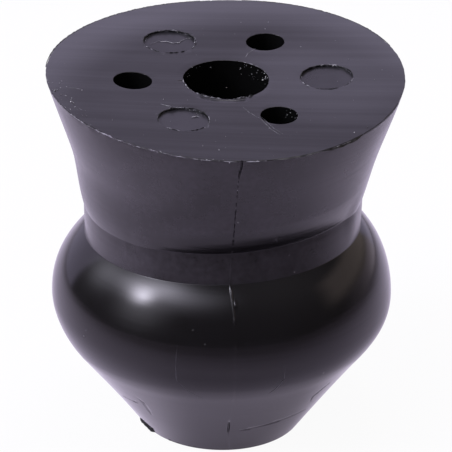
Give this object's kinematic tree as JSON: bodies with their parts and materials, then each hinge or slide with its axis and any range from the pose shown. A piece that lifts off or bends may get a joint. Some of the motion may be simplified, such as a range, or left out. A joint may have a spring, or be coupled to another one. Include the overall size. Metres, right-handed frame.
{
  "type": "rubber stopper",
  "caption": "Waisted rubber stopper: flared head with a centre bore and pin holes in its flat face, straight neck, round bulge and tapered foot.",
  "frame": {"origin": "centre of the foot's flat face, on the axis", "axes": "+Z along the axis from the foot to the head face; the mould seams lie at +Y and -Y, and one ejector mark at +X"},
  "size_m": [0.075, 0.0754, 0.0795],
  "materials": {
    "moulded_rubber": "satin black, glossier on the bulge"
  },
  "bodies": {
    "root": {"stopper_body": "moulded_rubber"}
  },
  "joints": []
}
